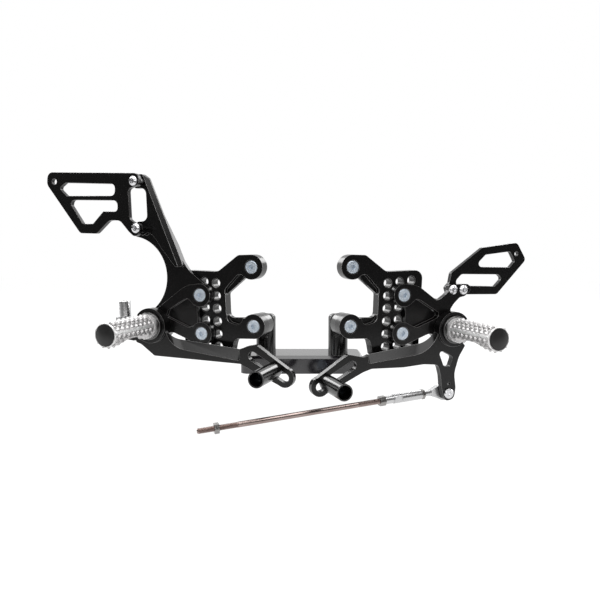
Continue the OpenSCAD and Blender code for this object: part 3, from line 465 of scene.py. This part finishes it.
def scoop_floor(s):
    """Lowest v of the peg at a distance s along it: a ramp in, a flat, and two ramps out."""
    ramp_in = -16 + (s - 7) * 9.5 / 6
    flat = -6.5
    ramp_out = flat - (s - 48) * 2.2 / 7
    end_ramp = -8.7 - (s - 55) * 7.3 / 7
    return min(ramp_in, flat, ramp_out, end_ramp)


def over_scoop(v, s):
    """The same v, lifted to the floor of the scoop where the scoop reaches into the peg."""
    low = scoop_floor(s)
    return max(v, low) if low > -PEG_RADIUS else v


def off_band(angle):
    """Degrees between a direction and the middle of the smooth band."""
    return abs((angle - BAND_ANGLE + 180) % 360 - 180)


def core_radius(s, angle):
    if s < BASE_END:
        return BASE_RADIUS
    if s > PEG_LENGTH - RIM:
        return GROOVE_RADIUS - (s - PEG_LENGTH + RIM) * RIM_SLOPE
    share = (BAND_HALF + BAND_BLEND / 2 - off_band(angle)) / BAND_BLEND
    return GROOVE_RADIUS + BAND_RISE * max(0.0, min(1.0, share))


def peg_core(side):
    """The core as a bmesh. Its stations are closest where the radius steps."""
    stations = [0, 0.4, 2, 4.49, 4.5, 5.1, 5.2, 5.6, 6.5]
    stations += [7 + i for i in range(int(PEG_LENGTH - 9))]
    stations += [PEG_LENGTH - 1.21, PEG_LENGTH - RIM, PEG_LENGTH - 0.6, PEG_LENGTH]
    around = 144
    rings = []
    for s in stations:
        ring = []
        for k in range(around):
            angle = 360 * k / around
            r = core_radius(s, angle) - (BASE_BREAK if s == 0 else 0)
            u = r * math.cos(math.radians(angle))
            v = r * math.sin(math.radians(angle))
            if s < FLATS_END:
                u = max(-FLATS_HALF, min(FLATS_HALF, u))
            ring.append((u, over_scoop(v, s), s))
        rings.append(ring)
    turns = [2 * math.pi * k / around for k in range(around)]
    for s in (PEG_LENGTH, PEG_LENGTH - CAP_SEAT_DEPTH):
        r = CAP_SEAT_RADIUS
        rings.append([(r * math.cos(t), r * math.sin(t), s) for t in turns])
    bm = bmesh.new()
    place = side_matrix(side)
    start = Vector((*HUB[side], PEG_START))
    grid = [[bm.verts.new(place @ (start + Vector(p))) for p in ring] for ring in rings]
    for s, a, b in zip(stations + [PEG_LENGTH + 1] * 2, grid, grid[1:]):
        for k in range(around):
            made = bm.faces.new((a[k], a[(k + 1) % around], b[(k + 1) % around], b[k]))
            off = off_band(360 * (k + 0.5) / around)
            # grooved faces take the second slot, whose darker metal is painted shade between the
            # teeth
            grooved = BASE_END <= s < PEG_LENGTH - RIM and off > BAND_HALF
            made.material_index = GROOVE_SLOT if grooved else SMOOTH_SLOT
    bm.faces.new(list(reversed(grid[0])))
    bm.faces.new(grid[-1])
    bmesh.ops.recalc_face_normals(bm, faces=bm.faces)
    return bm


# %% [markdown]
# What repeats by a rule is made with Geometry Nodes. `Tree` builds such a tree node by node,
# and `run_tree` gives its result as a plain mesh.

# %% A builder for node trees


class Tree:
    """A Geometry Nodes tree with named inputs, built node by node."""

    def __init__(self, name, inputs):
        self.tree = bpy.data.node_groups.new(name, "GeometryNodeTree")
        new_socket = self.tree.interface.new_socket
        new_socket("Geometry", in_out="INPUT", socket_type="NodeSocketGeometry")
        for label, (kind, value) in inputs.items():
            made = new_socket(label, in_out="INPUT", socket_type=kind)
            if value is not None:
                made.default_value = value
        new_socket("Geometry", in_out="OUTPUT", socket_type="NodeSocketGeometry")
        self.start = self.tree.nodes.new("NodeGroupInput")
        self.end = self.tree.nodes.new("NodeGroupOutput")

    def get(self, label):
        return self.start.outputs[label]

    def add(self, kind, settings=None, values=None):
        made = self.tree.nodes.new(kind)
        for name, value in (settings or {}).items():
            setattr(made, name, value)
        for name, value in (values or {}).items():
            if isinstance(value, bpy.types.NodeSocket):
                self.tree.links.new(value, made.inputs[name])
            else:
                made.inputs[name].default_value = value
        return made

    def math(self, kind, a, b=0.0):
        return self.add("ShaderNodeMath", {"operation": kind}, {0: a, 1: b}).outputs[0]

    def finish(self, geometry, material):
        real = self.add("GeometryNodeRealizeInstances", {}, {0: geometry}).outputs[0]
        painted = self.add("GeometryNodeSetMaterial", {}, {"Geometry": real, "Material": material})
        self.tree.links.new(painted.outputs[0], self.end.inputs[0])
        return self.tree


def run_tree(tree, name, settings):
    """The evaluated result of a tree as a plain mesh."""
    holder = bpy.data.objects.new(name + "_holder", bpy.data.meshes.new(name + "_holder"))
    bpy.context.scene.collection.objects.link(holder)
    modifier = holder.modifiers.new("tree", "NODES")
    modifier.node_group = tree
    sockets = {s.name: s.identifier for s in tree.interface.items_tree if s.in_out == "INPUT"}
    for label, value in settings.items():
        modifier[sockets[label]] = value
    bpy.context.view_layer.update()
    depsgraph = bpy.context.evaluated_depsgraph_get()
    mesh = bpy.data.meshes.new_from_object(holder.evaluated_get(depsgraph))
    bpy.data.objects.remove(holder)
    return mesh


def move_mesh(mesh, place):
    """Moves a mesh to its place, with its faces turned out again where that mirrors it."""
    mesh.transform(place)
    if place.to_3x3().determinant() < 0:
        mesh.flip_normals()


# %% [markdown]
# The teeth are laid out in a grid of points wrapped round the core. Each second ring is
# turned half a step, and a blunt four-sided cone stands on each point. Teeth that would fall
# in the scoop or on the smooth band are left out, and those on the rim of the scoop are cut
# off level with it, as the milling cutter does.

# %% Teeth of a peg


def knurl_tree():
    """Points in rings along the z axis, each with one tooth that points outward."""
    t = Tree(
        "knurl",
        {
            "Radius": ("NodeSocketFloat", 12.6),
            "First": ("NodeSocketFloat", 8.0),
            "Pitch along": ("NodeSocketFloat", 7.6),
            "Rings": ("NodeSocketInt", 16),
            "Teeth round": ("NodeSocketInt", 12),
            "Tooth height": ("NodeSocketFloat", 1.4),
            "Tooth size": ("NodeSocketFloat", 0.43),
            "Turn": ("NodeSocketFloat", 0.0),
            "Smooth half angle": ("NodeSocketFloat", 0.16),
            "Metal": ("NodeSocketMaterial", None),
        },
    )
    total = t.math("MULTIPLY", t.get("Rings"), t.get("Teeth round"))
    dots = t.add("GeometryNodePoints", {}, {"Count": total}).outputs[0]
    index = t.add("GeometryNodeInputIndex").outputs[0]
    ring = t.math("FLOOR", t.math("DIVIDE", index, t.get("Teeth round")))
    step = t.math("DIVIDE", 2 * math.pi, t.get("Teeth round"))
    half = t.math("MULTIPLY", t.math("MODULO", ring, 2.0), 0.5)
    place_in_ring = t.math("ADD", t.math("MODULO", index, t.get("Teeth round")), half)
    turned = t.math("MULTIPLY", place_in_ring, step)
    angle = t.math("ADD", turned, t.get("Turn"))
    along = t.math("MULTIPLY_ADD", ring, t.math("MULTIPLY", t.get("Pitch along"), 0.5))
    t.tree.links.new(t.get("First"), along.node.inputs[2])
    place = t.add(
        "ShaderNodeCombineXYZ",
        {},
        {
            0: t.math("MULTIPLY", t.math("COSINE", angle), t.get("Radius")),
            1: t.math("MULTIPLY", t.math("SINE", angle), t.get("Radius")),
            2: along,
        },
    ).outputs[0]
    laid = t.add("GeometryNodeSetPosition", {}, {"Geometry": dots, "Position": place}).outputs[0]
    # teeth on the smooth band are taken out
    off = t.math("PINGPONG", turned, math.pi)
    band = t.math("LESS_THAN", off, t.get("Smooth half angle"))
    kept = t.add(
        "GeometryNodeDeleteGeometry",
        {"domain": "POINT"},
        {"Geometry": laid, "Selection": band},
    ).outputs[0]
    # what stays is numbered anew, so outward is read from where each point stands
    spot = t.add("GeometryNodeInputPosition").outputs[0]
    outward = t.add(
        "ShaderNodeVectorMath",
        {"operation": "MULTIPLY"},
        {0: spot, 1: (1, 1, 0)},
    ).outputs[0]
    # one blunt tooth, a diamond as long as the pitch and as wide as a step
    cone = t.add(
        "GeometryNodeMeshCone",
        {"fill_type": "NGON"},
        {
            "Vertices": 4,
            "Side Segments": 2,
            "Radius Top": 0.2,
            "Radius Bottom": 1.0,
            "Depth": 1.0,
        },
    ).outputs[0]
    upright = t.add(
        "FunctionNodeAlignRotationToVector",
        {"axis": "Z"},
        {"Vector": outward},
    ).outputs[0]
    axis = t.add("ShaderNodeCombineXYZ", {}, {2: 1.0}).outputs[0]
    facing = t.add(
        "FunctionNodeAlignRotationToVector",
        {"axis": "X", "pivot_axis": "Z"},
        {"Rotation": upright, "Vector": axis},
    ).outputs[0]
    long = t.math("MULTIPLY", t.get("Pitch along"), t.get("Tooth size"))
    wide = t.math("MULTIPLY", t.math("MULTIPLY", step, t.get("Radius")), t.get("Tooth size"))
    size = t.add(
        "ShaderNodeCombineXYZ",
        {},
        {0: long, 1: wide, 2: t.get("Tooth height")},
    ).outputs[0]
    teeth = t.add(
        "GeometryNodeInstanceOnPoints",
        {},
        {"Points": kept, "Instance": cone, "Rotation": facing, "Scale": size},
    ).outputs[0]
    return t.finish(teeth, t.get("Metal"))


knurl = knurl_tree()
TOOTH_SINK = 0.2
TIP_REACH = PEG_RADIUS - 0.02
FIRST_TOOTH = BASE_END - 0.1
LAST_TOOTH = PEG_LENGTH - 0.6
DEEP_IN_SCOOP = 0.6


def cut_to_scoop(mesh):
    """Ends each tooth at the scoop, at the turned base and at the rim."""
    bm = bmesh.new()
    bm.from_mesh(mesh)
    gone = set()
    for island in islands(bm):
        tip = max(island, key=lambda v: math.hypot(v.co.x, v.co.y))
        if tip.co.y < scoop_floor(tip.co.z) - DEEP_IN_SCOOP:
            gone.update(island)
        for v in island:
            v.co.z = max(FIRST_TOOTH, min(LAST_TOOTH, v.co.z))
            v.co.y = over_scoop(v.co.y, v.co.z)
            reach = math.hypot(v.co.x, v.co.y)
            if reach > TIP_REACH:
                v.co.x *= TIP_REACH / reach
                v.co.y *= TIP_REACH / reach
    bmesh.ops.delete(bm, geom=list(gone), context="VERTS")
    bmesh.ops.dissolve_degenerate(bm, edges=bm.edges, dist=0.01)
    bm.to_mesh(mesh)
    bm.free()


def islands(bm):
    """Groups of vertices that edges join."""
    left = set(bm.verts)
    while left:
        group, edge = set(), {left.pop()}
        while edge:
            v = edge.pop()
            group.add(v)
            near = {e.other_vert(v) for e in v.link_edges} & left
            left -= near
            edge |= near
        yield group


def make_peg(side):
    bm = peg_core(side)
    teeth = run_tree(
        knurl,
        side + "_teeth",
        {
            "Radius": GROOVE_RADIUS - TOOTH_SINK,
            "First": BASE_END + 3.4,
            "Rings": 17,
            "Tooth height": TOOTH_HEIGHT + TOOTH_SINK,
            "Turn": math.radians(BAND_ANGLE),
            "Metal": peg_silver,
        },
    )
    cut_to_scoop(teeth)
    move_mesh(teeth, side_matrix(side) @ Matrix.Translation((*HUB[side], PEG_START)))
    core = bpy.data.meshes.new(side + "_peg_knurled")
    bm.from_mesh(teeth)
    bm.to_mesh(core)
    bm.free()
    # the grooved core takes the darker metal, a painted shade between the teeth
    slots = [peg_silver, peg_groove_painted_shade]
    piece = finish_mesh(side + "_peg_knurled", core, slots, "stand_and_frames", 30)
    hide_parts(side + "_peg")
    return piece


pegs = {side: make_peg(side) for side in HUB}
for side, piece in pegs.items():
    print(side, "peg:", len(piece.data.polygons), "faces")

# %% [markdown]
# The shift rod is a plain drawn bar with a rolled thread at each end. The bar between the
# threads keeps its full size, and each thread is a fine ridge wound on a thinner core. A
# Geometry Nodes tree winds the ridge: a spiral curve with a small diamond drawn along it.

# %% Thread of the shift rod
ROD_START = 59.0
ROD_END = 279.0
ROD_RADIUS = 3.0
CORE_RADIUS = 2.5
THREADS = ((60.0, 105.0), (238.0, 278.0))
THREAD_PITCH = 1.0
ROD_SLOPE = 5.6
ROD_BALL = (112.6, -137.3, 9.0)


def rod_matrix():
    """From the rod's own frame, with z along it and the ball at its origin, to the row's."""
    angle = math.radians(180 + ROD_SLOPE)
    along = Vector((math.cos(angle), math.sin(angle), 0))
    up = Vector((0, 0, 1))
    m = Matrix((up, along.cross(up), along)).transposed().to_4x4()
    m.translation = Vector(ROD_BALL)
    return side_matrix("shift") @ m


def thread_tree():
    """A ridge wound round the z axis, from its start up."""
    t = Tree(
        "thread",
        {
            "Turns": ("NodeSocketFloat", 40.0),
            "Length": ("NodeSocketFloat", 40.0),
            "Middle radius": ("NodeSocketFloat", 2.62),
            "Ridge": ("NodeSocketFloat", 0.45),
            "Start": ("NodeSocketFloat", 0.0),
            "Metal": ("NodeSocketMaterial", None),
        },
    )
    spiral = t.add(
        "GeometryNodeCurveSpiral",
        {},
        {
            "Resolution": 24,
            "Rotations": t.get("Turns"),
            "Start Radius": t.get("Middle radius"),
            "End Radius": t.get("Middle radius"),
            "Height": t.get("Length"),
        },
    ).outputs[0]
    upright = t.add("GeometryNodeSetCurveNormal", {"mode": "Z_UP"}, {0: spiral}).outputs[0]
    ridge = t.add(
        "GeometryNodeCurvePrimitiveCircle",
        {},
        {"Resolution": 4, "Radius": t.get("Ridge")},
    ).outputs[0]
    wound = t.add(
        "GeometryNodeCurveToMesh",
        {},
        {"Curve": upright, "Profile Curve": ridge, "Fill Caps": True},
    ).outputs[0]
    lift = t.add("ShaderNodeCombineXYZ", {}, {2: t.get("Start")}).outputs[0]
    placed = t.add(
        "GeometryNodeTransform",
        {},
        {"Geometry": wound, "Translation": lift},
    ).outputs[0]
    return t.finish(placed, t.get("Metal"))


def turned(bm, profile, place):
    """A closed turned body from (radius, distance) pairs."""
    around = 48
    rings = []
    turns = [2 * math.pi * k / around for k in range(around)]
    for r, z in profile:
        spots = [(r * math.cos(t), r * math.sin(t), z) for t in turns]
        rings.append([bm.verts.new(place @ Vector(p)) for p in spots])
    for a, b in zip(rings, rings[1:]):
        for k in range(around):
            bm.faces.new((a[k], a[(k + 1) % around], b[(k + 1) % around], b[k]))
    bm.faces.new(list(reversed(rings[0])))
    bm.faces.new(rings[-1])
    bmesh.ops.recalc_face_normals(bm, faces=bm.faces)


thread = thread_tree()
first_high, second_low = THREADS[0][1], THREADS[1][0]
profile = [
    (CORE_RADIUS - 0.5, ROD_START),
    (CORE_RADIUS, ROD_START + 0.6),
    (CORE_RADIUS, first_high),
    (ROD_RADIUS, first_high + 0.5),
    (ROD_RADIUS, second_low - 0.5),
    (CORE_RADIUS, second_low),
    (CORE_RADIUS, ROD_END - 0.8),
    (CORE_RADIUS - 0.8, ROD_END),
]
bm = bmesh.new()
turned(bm, profile, rod_matrix())
for number, (low, high) in enumerate(THREADS):
    wound = run_tree(
        thread,
        f"rod_thread_{number}",
        {
            "Turns": (high - low) / THREAD_PITCH,
            "Length": high - low,
            "Start": low,
            "Metal": rod_brown,
        },
    )
    move_mesh(wound, rod_matrix())
    bm.from_mesh(wound)
rod_mesh = bpy.data.meshes.new("shift_rod_threaded")
bm.to_mesh(rod_mesh)
bm.free()
rod = finish_mesh("shift_rod_threaded", rod_mesh, [rod_brown], "shift_rod_assembly", 30)
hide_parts("shift_rod")
print("rod:", len(rod.data.polygons), "faces")

# %% [markdown]
# The stage is a white floor just under the lowest part of the set, with a white wall behind.
# Camera, glossy and transmission rays see the wall as plain white, and the floor as nine
# tenths white. The last tenth is real light, so the set leaves a soft shadow there. The
# floor ends in front of the set, so the black faces look out into a dim room, as they do in
# the photograph.

# %% Floor and backdrop
FLOOR_Z = -0.0435
STAGE_FRONT, STAGE_BACK, STAGE_HALF, WALL_TOP = -0.42, 2.5, 4, 3.5


def stage_finish(name, share, strength):
    """Matt white that glows, by a share, for the rays that look at it."""
    f = Finish(name, (0.9, 0.9, 0.9), 0.0, 0.9)
    grain = f.noise(6, 2)
    f.tint(grain, (0.88, 0.88, 0.88), (0.9, 0.9, 0.9))
    rays = f.add("ShaderNodeLightPath")
    seen = Wave(f, rays.outputs["Is Camera Ray"]) + Wave(f, rays.outputs["Is Glossy Ray"])
    seen = seen + Wave(f, rays.outputs["Is Transmission Ray"])
    glow = f.add("ShaderNodeEmission", {}, {"Color": (1, 1, 1, 1), "Strength": strength})
    share = seen.clamp(0, 1) * share
    mixed = f.add(
        "ShaderNodeMixShader",
        {},
        {0: share, 1: f.shader.outputs[0], 2: glow.outputs[0]},
    )
    f.tree.links.new(mixed.outputs[0], f.tree.nodes["Material Output"].inputs["Surface"])
    return f.material


def stage_edge(y, z):
    """The left and right corner of the stage at a depth and a height."""
    return [(-STAGE_HALF, y, z), (STAGE_HALF, y, z)]


def sheet_between(name, first, second, material):
    mesh = bpy.data.meshes.new(name)
    mesh.from_pydata(first + second[::-1], [], [(0, 1, 2, 3)])
    mesh.materials.append(material)
    made = bpy.data.objects.new(name, mesh)
    bpy.context.scene.collection.objects.link(made)
    return made


floor_white = stage_finish("floor_white", 0.9, 1.08)
wall_white = stage_finish("wall_white", 1.0, 1.0)
corner = stage_edge(STAGE_BACK, FLOOR_Z)
floor = sheet_between("floor", stage_edge(STAGE_FRONT, FLOOR_Z), corner, floor_white)
wall = sheet_between("backdrop", corner, stage_edge(STAGE_BACK, WALL_TOP), wall_white)
print("stage:", floor.name, wall.name)

# %% [markdown]
# The main light is a large soft box overhead, which draws the bevels. Two tall strips at the
# sides give the posts, tubes and pegs their long highlights. Two boxes behind the set light
# the inner edges of the bracket and the frames. A weak front light brightens the pegs.

# %% Lights
ROOM_LIGHT = 0.16
LIGHTS = {  # place, aim, size and power
    "overhead": ((0, -0.3, 1.1), (0, -0.1, 0.1), (1.6, 1.2), 19),
    "left_strip": ((-0.9, 0.3, 0.35), (0, -0.05, 0.1), (0.25, 1.0), 4),
    "right_strip": ((0.9, 0.3, 0.35), (0, -0.05, 0.1), (0.25, 1.0), 4),
    "left_back": ((-0.8, 1.15, 0.9), (0.1, -0.05, 0.15), (0.8, 0.8), 9),
    "right_back": ((0.8, 1.15, 0.9), (-0.1, -0.05, 0.15), (0.8, 0.8), 9),
    "front_fill": ((0, -1.2, 0.5), (0, 0, 0.1), (0.8, 0.4), 3),
}


def area_light(name, place, aim, size, power):
    data = bpy.data.lights.new(name, "AREA")
    data.shape = "RECTANGLE"
    data.size, data.size_y = size
    data.energy = power
    lamp = bpy.data.objects.new(name, data)
    bpy.context.scene.collection.objects.link(lamp)
    lamp.location = place
    lamp.rotation_euler = (Vector(aim) - Vector(place)).to_track_quat("-Z", "Y").to_euler()


for name, (place, aim, size, power) in LIGHTS.items():
    area_light(name, place, aim, size, power)
world = bpy.data.worlds.new("room")
world.use_nodes = True
room = world.node_tree.nodes["Background"].inputs
room["Color"].default_value = (1, 1, 1, 1)
room["Strength"].default_value = ROOM_LIGHT
bpy.context.scene.world = world

# %% [markdown]
# The last cell prints that the scene is built.

# %% Finish
print("scene built")
